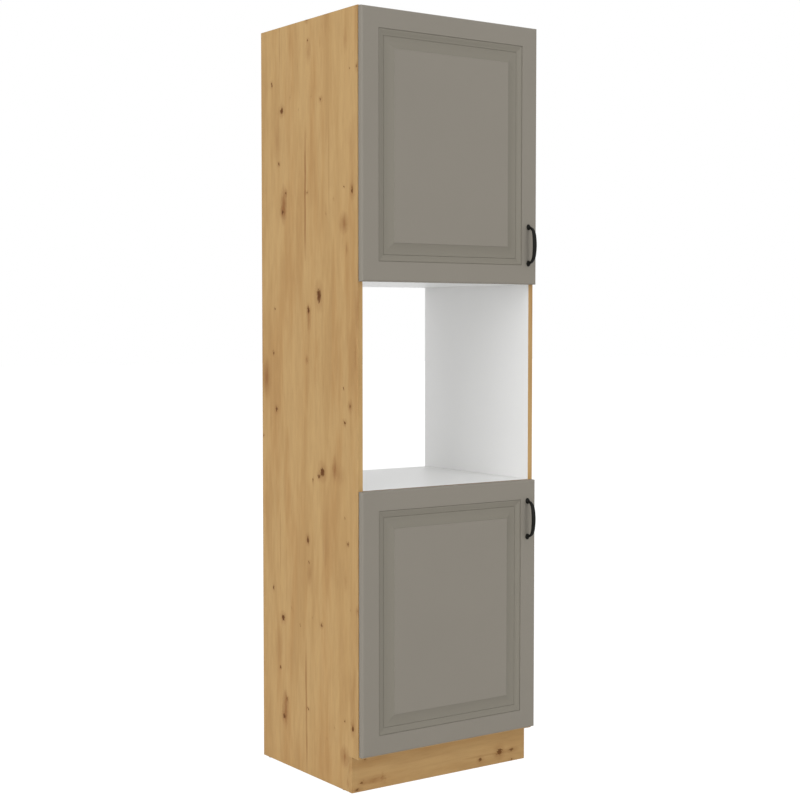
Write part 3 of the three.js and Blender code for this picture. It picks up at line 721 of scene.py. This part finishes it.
def door_profile():
    """A door's front from its edge to its field, as (in from the edge, depth) in millimetres."""
    turns = [math.radians(15 * step) for step in range(7)]
    edge = [(5.5 - 5.5 * math.cos(turn), 4.5 - 4.5 * math.sin(turn)) for turn in turns]
    quirk = [(DOOR_FRAME, 0), (53.5, 0.25), (53.7, 2.0), (54.0, 2.3), (54.6, 2.3), (54.9, 2.0),
             (55.15, 1.25)]
    shares = [step / 8 for step in range(9)]
    ogee = [(55.4 + 16 * share, 1.2 + 4.2 * share ** 2 * (3 - 2 * share)) for share in shares]
    bevel = [(72.6 + 31 * share, 5.4 + 4.6 * share - 8.4 * share ** 2) for share in shares]
    return edge + quirk + ogee + [(72.0, 6.7)] + bevel + [(104.3, 0.4)]


def routed_door(node, sizes):
    """A door routed round its front, with the bores for its hinge cups."""
    low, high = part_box(node)
    profile = door_profile()
    front = low.y + profile[0][1] / 1000
    middle = ((low.x + high.x) / 2, (front + high.y) / 2, (low.z + high.z) / 2)
    spans = (high.x - low.x, high.y - front, high.z - low.z, 1)
    shape = bmesh.new()
    bmesh.ops.create_cube(shape, size=1,
                          matrix=Matrix.Translation(middle) @ Matrix.Diagonal(spans))
    field = min(shape.faces, key=lambda face: face.calc_center_median().y)
    for before, here in zip(profile, profile[1:]):
        bmesh.ops.inset_region(
            shape, faces=[field], use_boundary=True, use_even_offset=True,
            thickness=(here[0] - before[0]) / 1000, depth=(before[1] - here[1]) / 1000)
    places = [Vector((low.x + sizes.cup_inset, high.y, level))
              for level in (low.z + sizes.hinge_inset, high.z - sizes.hinge_inset)]
    bored(shape, Vector((0, 1, 0)), places, sizes.cup_bore, sizes.cup_depth)
    return shape


def eased_board(node, ease, material, shape=None):
    """A board of the model with its long edges eased."""
    shape = shape or packed_copy(node)
    low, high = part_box(node)

    def on_long_edge(vertex):
        return sum(min(abs(vertex.co[axis] - low[axis]), abs(vertex.co[axis] - high[axis])) < NEAR
                   for axis in range(3)) > 1

    outer = [edge for edge in shape.edges
             if edge.is_convex and edge.calc_length() > 0.02 and edge.calc_face_angle(0) > 1
             and all(on_long_edge(vertex) for vertex in edge.verts)]
    bmesh.ops.bevel(shape, geom=outer, offset=ease, offset_type="OFFSET", segments=2, profile=0.5,
                    affect="EDGES", material=-1)
    return piece(f"{node}_finished", shape, body_of(node), material, [node], sharp=35)


def swept(shape, stations):
    """A closed bar through a row of rings, each a matrix that places a unit circle."""
    ring = bmesh.ops.create_circle(shape, cap_ends=True, radius=1, segments=ROUND,
                                   matrix=stations[0])["verts"]
    edges = loop_of(ring)
    for before, here in zip(stations, stations[1:]):
        ring, edges = new_ring(shape, edges)
        bmesh.ops.transform(shape, matrix=here @ before.inverted(), verts=ring)
    bmesh.ops.contextual_create(shape, geom=edges)


def ring_station(middle, tangent, half_width, half_thickness):
    """The matrix of a ring across a bar whose width runs along x."""
    wide = Vector((1, 0, 0))
    axes = (wide * half_width, wide.cross(tangent) * half_thickness, tangent)
    turn = Matrix([[axis[row] for axis in axes] for row in range(3)]).to_4x4()
    return Matrix.Translation(middle) @ turn


def bow_stations(low, high, sizes):
    """Rings through a bow handle, from its upper foot round to its lower one."""
    middle = (low + high) / 2
    half, half_width = sizes.hole_spacing / 2, (high.x - low.x) / 2
    reach = high.y - low.y - sizes.grip_thickness
    foot_length = high.z - middle.z - half - sizes.foot_splay
    path = []
    for corners, steps in BOW:
        curve = interpolate_bezier(*(Vector((middle.x, high.y - out * reach, along * half))
                                     for out, along in corners), steps)
        path += curve[1:] if path else curve
    crown = len(path) - 1
    path += [Vector((point.x, point.y, -point.z)) for point in reversed(path[:-1])]
    stations = []
    for index in range(1, len(path) - 1):
        if high.y - path[index].y < sizes.foot_height:
            continue
        girth = 1 - (1 - sizes.neck_share) * (abs(index - crown) / crown) ** 2
        tangent = (path[index + 1] - path[index - 1]).normalized()
        stations.append(ring_station(
            path[index] + Vector((0, 0, middle.z)), tangent, half_width * girth,
            sizes.grip_thickness * (0.35 + 0.65 * girth)))
    feet = []
    for end in (1, -1):
        rings = []
        for rise, girth in FOOT_RINGS:
            out = end * (half + sizes.foot_splay * (1 - rise * FOOT_LEAN))
            rings.append(ring_station(
                Vector((middle.x, high.y - rise * sizes.foot_height, middle.z + out)),
                Vector((0, -end, 0)), half_width * girth * FOOT_WIDTH, foot_length * girth))
        feet.append(rings)
    return feet[0] + stations + feet[1][::-1]


def turned(shape, profile, matrix):
    """A profile in millimetres turned about the matrix's z axis."""
    others = set(shape.verts)
    points = [shape.verts.new((radius / 1000, 0, height / 1000)) for radius, height in profile]
    edges = [shape.edges.new(ends) for ends in zip(points, points[1:])]
    bmesh.ops.spin(shape, geom=points + edges, axis=(0, 0, 1), angle=2 * math.pi, steps=ROUND,
                   use_merge=True)
    made = [vertex for vertex in shape.verts if vertex not in others]
    bmesh.ops.remove_doubles(shape, verts=made, dist=MERGE)
    made = [vertex for vertex in shape.verts if vertex not in others]
    bmesh.ops.transform(shape, matrix=matrix, verts=made)


def screw_head(shape, matrix, radius, height, recess=0.62):
    """A round head with a cross recess; its axis is the matrix's z, its foot at z = 0."""
    others = set(shape.verts)
    rim = bmesh.ops.create_circle(shape, cap_ends=False, radius=radius * 0.84, segments=24,
                                  matrix=Matrix.Translation((0, 0, height)))["verts"]
    rim_edges = loop_of(rim)
    reach, half = radius * recess, radius * 0.14
    cross = []
    quarter = [(half, reach), (half, half), (reach, half)]
    for _ in range(4):
        cross += [shape.verts.new((x, y, height)) for x, y in quarter]
        quarter = [(y, -x) for x, y in quarter]
    cross_edges = [shape.edges.new((cross[index - 1], cross[index])) for index in range(12)]
    bmesh.ops.triangle_fill(shape, use_beauty=True, edges=rim_edges + cross_edges)
    floor, floor_edges = new_ring(shape, cross_edges)
    bmesh.ops.transform(shape, verts=floor, matrix=Matrix.Translation((0, 0, -height * 0.5))
                        @ Matrix.Diagonal((0.8, 0.8, 1, 1)))
    bmesh.ops.contextual_create(shape, geom=floor_edges)
    edges = rim_edges
    for share, level in HEAD_CROWN:
        ring, edges = new_ring(shape, edges)
        wider = radius * share / Vector((ring[0].co.x, ring[0].co.y)).length
        bmesh.ops.transform(shape, verts=ring, matrix=Matrix.Translation((0, 0, height * level))
                            @ Matrix.Diagonal((wider, wider, 0, 1)))
    bmesh.ops.contextual_create(shape, geom=edges)
    made = [vertex for vertex in shape.verts if vertex not in others]
    bmesh.ops.transform(shape, matrix=matrix, verts=made)


def corner_bracket(shape, corner, width):
    """A moulded bracket between the rear of the plinth and the board above it."""
    reach, wall = BRACKET_ARM, BRACKET_WALL
    angle = ((0, 0), (reach, 0), (reach, -wall), (wall, -wall), (wall, -reach), (0, -reach))
    gusset = ((wall, -wall), (reach - wall, -wall), (wall, wall - reach))
    for profile, left, thickness in ((angle, -width / 2, width), (gusset, -width / 2, wall),
                                     (gusset, width / 2 - wall, wall)):
        face = shape.faces.new([shape.verts.new(corner + Vector((left, y, z)))
                                for y, z in profile])
        grown = bmesh.ops.extrude_face_region(shape, geom=[face])["geom"]
        bmesh.ops.translate(shape, vec=(thickness, 0, 0), verts=[
            part for part in grown if isinstance(part, bmesh.types.BMVert)])


# ---- Operators ----

class OVENHOUSING_OT_oak_boards(bpy.types.Operator):
    """Give the side panels and the plinth eased edges and an oak finish"""

    bl_idname = "oven_housing.oak_boards"
    bl_label = "Oak Boards"

    def execute(self, context):
        finish, ease = context.scene.oven_finish, context.scene.oven_sizes.board_ease
        for hand in SIDES:
            node = f"{hand}_side_panel"
            eased_board(node, ease, side_board_material(f"oak_{hand}", finish, node))
        eased_board("plinth_board", ease, plinth_material("oak_plinth", finish))
        return {"FINISHED"}


class OVENHOUSING_OT_white_boards(bpy.types.Operator):
    """Finish the boards inside the cabinet, with their cam fittings, and its two back panels"""

    bl_idname = "oven_housing.white_boards"
    bl_label = "White Boards"

    def execute(self, context):
        finish, sizes = context.scene.oven_finish, context.scene.oven_sizes
        cams = bmesh.new()
        for node in (*CAM_FACES, "lower_shelf", "upper_shelf"):
            shape = packed_copy(node)
            if node in CAM_FACES:
                low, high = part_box(node)
                direction = Vector((0, 0, CAM_FACES[node]))
                level = high.z if direction.z > 0 else low.z
                places = [Vector((side * (high.x - sizes.cam_inset), low.y + depth, level))
                          for side in SIDES.values() for depth in CAM_DEPTHS]
                bored(shape, direction, places, sizes.cam_radius * 1.02, sizes.cam_recess)
                for place in places:
                    screw_head(cams, facing(place - direction * sizes.cam_recess, direction),
                               sizes.cam_radius, sizes.cam_recess * 0.8, recess=0.5)
            eased_board(node, sizes.board_ease,
                        white_board_material(f"white_{node}", finish, node), shape)
        piece("cam_fittings", cams, body_of("top_panel"),
              plated_material("zinc_cam", ZINC, 0.42, 300))
        for level in LEVELS:
            node = f"{level}_back_panel"
            panel = frame["nodes"][node]
            panel.data.materials.clear()
            panel.data.materials.append(back_panel_material(f"board_{node}", finish, node))
        return {"FINISHED"}


class OVENHOUSING_OT_doors(bpy.types.Operator):
    """Finish the two routed doors"""

    bl_idname = "oven_housing.doors"
    bl_label = "Doors"

    def execute(self, context):
        finish, sizes = context.scene.oven_finish, context.scene.oven_sizes
        for level in LEVELS:
            node = f"{level}_door"
            mesh = piece(f"{node}_finished", routed_door(node, sizes), body_of(node),
                         door_material(f"clay_{level}", finish, node), [node]).data
            for edge in mesh.edges:
                first, last = (mesh.vertices[end].co for end in edge.vertices)
                if abs(last.x - first.x) > NEAR and abs(last.z - first.z) > NEAR:
                    edge.use_edge_sharp = True
        return {"FINISHED"}


class OVENHOUSING_OT_handles(bpy.types.Operator):
    """Forge the two bow handles and put in their screws"""

    bl_idname = "oven_housing.handles"
    bl_label = "Handles"

    def execute(self, context):
        finish, sizes = context.scene.oven_finish, context.scene.oven_sizes
        iron = iron_material("iron_handle", finish)
        zinc = plated_material("zinc_screw", ZINC, 0.34, 400)
        for level in LEVELS:
            node = f"{level}_handle"
            shape = bmesh.new()
            swept(shape, bow_stations(*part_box(node), sizes))
            piece(f"{node}_forged", shape, body_of(node), iron, [node], sharp=60)
            screws = [f"{node}_screw_{end}" for end in ENDS]
            shape = bmesh.new()
            for screw in screws:
                low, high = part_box(screw)
                seat = (low + high) / 2
                seat.y = high.y - 0.0027
                foot = facing(seat, (0, 1, 0))
                turned(shape, SCREW_SHANK, foot)
                screw_head(shape, foot @ Matrix.Translation((0, 0, 0.0003)),
                           (high.x - low.x) / 2, 0.0022)
            piece(f"{node}_screws", shape, body_of(screws[0]), zinc, screws)
        return {"FINISHED"}


class OVENHOUSING_OT_hinges(bpy.types.Operator):
    """Finish the four concealed hinges and put in their screws"""

    bl_idname = "oven_housing.hinges"
    bl_label = "Hinges"

    def execute(self, context):
        sizes = context.scene.oven_sizes
        metals = {"nickel_plate": plated_material("nickel_hinge", NICKEL, 0.26, 700),
                  "zinc_plate": plated_material("zinc_link", ZINC, 0.36, 700)}
        side_low, side_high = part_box("left_side_panel")
        for hinge in [f"{level}_hinge_{end}" for level in LEVELS for end in ENDS]:
            for part, slot in HINGE_PARTS.items():
                node = f"{hinge}_{part}"
                shape = packed_copy(node, whole_flats=not part.endswith("link"))
                piece(f"{node}_finished", shape, body_of(node), metals[slot], [node],
                      sharp=35, soften=0.00015)
            low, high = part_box(f"{hinge}_mounting_plate")
            origin = Vector((side_high.x, side_low.y, (low.z + high.z) / 2))
            for name, part, slot, height, screws in HINGE_SCREWS:
                shape = bmesh.new()
                for place, direction in screws:
                    screw_head(shape, facing(origin + Vector(place) / 1000, direction),
                               getattr(sizes, f"{name}_screw_radius"), height)
                piece(f"{hinge}_{name}_screws", shape, body_of(f"{hinge}_{part}"),
                      metals[slot])
        return {"FINISHED"}


class OVENHOUSING_OT_fittings(bpy.types.Operator):
    """Turn the shelf pins, the glides and the door bumpers, and mould the plinth brackets"""

    bl_idname = "oven_housing.fittings"
    bl_label = "Fittings"

    def execute(self, context):
        nickel = plated_material("nickel_pin", NICKEL, 0.3, 500)
        brown = moulded_material("brown_plastic", BROWN_PLASTIC, 0.5)
        silicone = moulded_material("clear_silicone", CLEAR_SILICONE, 0.3, clear=0.5)
        places = [f"{row}_{hand}" for row in ("front", "rear") for hand in SIDES]
        for level in LEVELS:
            self.turn(f"{level}_shelf_pins", [f"{level}_shelf_pin_{place}" for place in places],
                      PIN_PROFILE, nickel, "nickel_plate", 0)
            self.turn(f"{level}_door_bumpers", [f"{level}_door_bumper_{end}" for end in ENDS],
                      BUMPER_PROFILE, silicone, "clear_rubber", 1)
        self.turn("glides", [f"glide_{place}" for place in places],
                  GLIDE_PROFILE, brown, "glide_plastic", 2)
        self.brackets(context.scene.oven_sizes.bracket_width, brown)
        return {"FINISHED"}

    def turn(self, name, nodes, profile, material, slot, axis):
        """Turned pieces in the place of like nodes, each along one axis, or inwards along x."""
        shape = bmesh.new()
        for node in nodes:
            low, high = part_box(node)
            seat, direction = (low + high) / 2, Vector()
            direction[axis] = -math.copysign(1, seat.x) if axis == 0 else 1
            end = low if direction[axis] > 0 else high
            seat[axis] = end[axis] - direction[axis] * profile[0][1] / 1000
            turned(shape, profile, facing(seat, direction))
        piece(name, shape, body_of(nodes[0]), material, nodes, sharp=35)

    def brackets(self, width, material):
        """Corner brackets that hold the plinth board under the bottom panel."""
        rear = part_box("plinth_board")[1].y + BRACKET_GAP
        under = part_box("bottom_panel")[0].z - BRACKET_GAP
        shape, screws = bmesh.new(), bmesh.new()
        for side in SIDES.values():
            across = side * BRACKET_PLACE
            corner_bracket(shape, Vector((across, rear, under)), width)
            for back, down, direction in ((BRACKET_SCREW, BRACKET_WALL, (0, 0, -1)),
                                          (BRACKET_WALL, BRACKET_SCREW, (0, 1, 0))):
                screw_head(screws, facing(Vector((across, rear + back, under - down)), direction),
                           *BRACKET_HEAD)
        piece("plinth_brackets", shape, body_of("plinth_board"), material,
              sharp=35, soften=0.0004)
        piece("plinth_bracket_screws", screws, body_of("plinth_board"),
              plated_material("zinc_bracket_screw", ZINC, 0.36, 400))


class OVENHOUSING_OT_stage(bpy.types.Operator):
    """Set up the camera, the floor and the lamps"""

    bl_idname = "oven_housing.stage"
    bl_label = "Stage"

    def execute(self, context):
        studio = context.scene.oven_studio
        camera = bpy.data.objects.new("Camera", bpy.data.cameras.new("Camera"))
        context.scene.collection.objects.link(camera)
        camera.location = studio.camera_place
        camera.rotation_euler = (math.pi / 2 - studio.camera_dip, 0, studio.camera_heading)
        camera.data.sensor_width = 36
        camera.data.lens = studio.lens
        context.scene.camera = camera
        for name, (towards, spread) in LAMPS.items():
            light = bpy.data.lights.new(f"{name.title()} Lamp", "SUN")
            light.angle = math.radians(spread)
            light.energy = getattr(studio, f"{name}_strength")
            lamp = bpy.data.objects.new(light.name, light)
            lamp.location = Vector(towards) * LAMP_DISTANCE
            lamp.rotation_euler = Vector(towards).to_track_quat("Z", "Y").to_euler()
            context.scene.collection.objects.link(lamp)
        self.world(context, studio.daylight)
        self.floor(context)
        context.scene.view_settings.view_transform = "Standard"
        return {"FINISHED"}

    def world(self, context, daylight):
        """Even white light all round, and plain white where the camera sees it."""
        context.scene.world = bpy.data.worlds.new("Studio")
        graph = Graph(context.scene.world)
        strength = graph.node("ShaderNodeMapRange", inputs={
            0: graph.backdrop_rays(), 3: daylight, 4: 1.0})
        sky = graph.node("ShaderNodeBackground", inputs={
            "Color": (1, 1, 1, 1), "Strength": strength})
        graph.node("ShaderNodeOutputWorld", inputs={"Surface": sky})

    def floor(self, context):
        """A pale paper floor, which glows white where the camera sees it but keeps shadows."""
        shape = bmesh.new()
        bmesh.ops.create_grid(shape, x_segments=1, y_segments=1, size=FLOOR_REACH)
        mesh = bpy.data.meshes.new("Floor")
        shape.to_mesh(mesh)
        shape.free()
        floor = bpy.data.objects.new("Floor", mesh)
        context.scene.collection.objects.link(floor)
        graph = new_graph("studio_floor")
        dust = graph.noise(3.0)
        paper = graph.node("ShaderNodeBsdfPrincipled", inputs={
            "Base Color": graph.mix(dust * 0.2, *FLOOR_TONES), "Roughness": 0.9})
        glow = graph.node("ShaderNodeEmission", inputs={
            "Color": (1, 1, 1, 1), "Strength": FLOOR_GLOW})
        whole = graph.node("ShaderNodeMixShader", inputs={
            0: graph.backdrop_rays() * FLOOR_GLOW_SHARE, 1: paper, 2: glow})
        graph.node("ShaderNodeOutputMaterial", inputs={"Surface": whole})
        mesh.materials.append(graph.owner)


class OVENHOUSING_PT_sidebar(bpy.types.Panel):
    """Lists the pieces of the oven housing and their settings"""

    bl_label = "Oven Housing"
    bl_idname = "OVENHOUSING_PT_sidebar"
    bl_space_type = "VIEW_3D"
    bl_region_type = "UI"
    bl_category = "Oven Housing"

    def draw(self, context):
        for operator in OPERATORS:
            self.layout.operator(operator.bl_idname)
        for setting in SETTINGS:
            group = getattr(context.scene, setting)
            column = self.layout.column()
            for name in group.__annotations__:
                column.prop(group, name)


OPERATORS = (OVENHOUSING_OT_oak_boards, OVENHOUSING_OT_white_boards, OVENHOUSING_OT_doors,
             OVENHOUSING_OT_handles, OVENHOUSING_OT_hinges, OVENHOUSING_OT_fittings,
             OVENHOUSING_OT_stage)
SETTINGS = {"oven_finish": OvenHousingFinish, "oven_sizes": OvenHousingSizes,
            "oven_studio": OvenHousingStudio}


def register():
    for kind in (*SETTINGS.values(), *OPERATORS, OVENHOUSING_PT_sidebar):
        bpy.utils.register_class(kind)
    for name, kind in SETTINGS.items():
        setattr(bpy.types.Scene, name, PointerProperty(type=kind))


def unregister():
    for name in SETTINGS:
        delattr(bpy.types.Scene, name)
    for kind in (OVENHOUSING_PT_sidebar, *reversed(OPERATORS), *SETTINGS.values()):
        bpy.utils.unregister_class(kind)


def main():
    register()
    for operator in OPERATORS:
        group, action = operator.bl_idname.split(".")
        getattr(getattr(bpy.ops, group), action)()


if __name__ == "__main__":
    main()
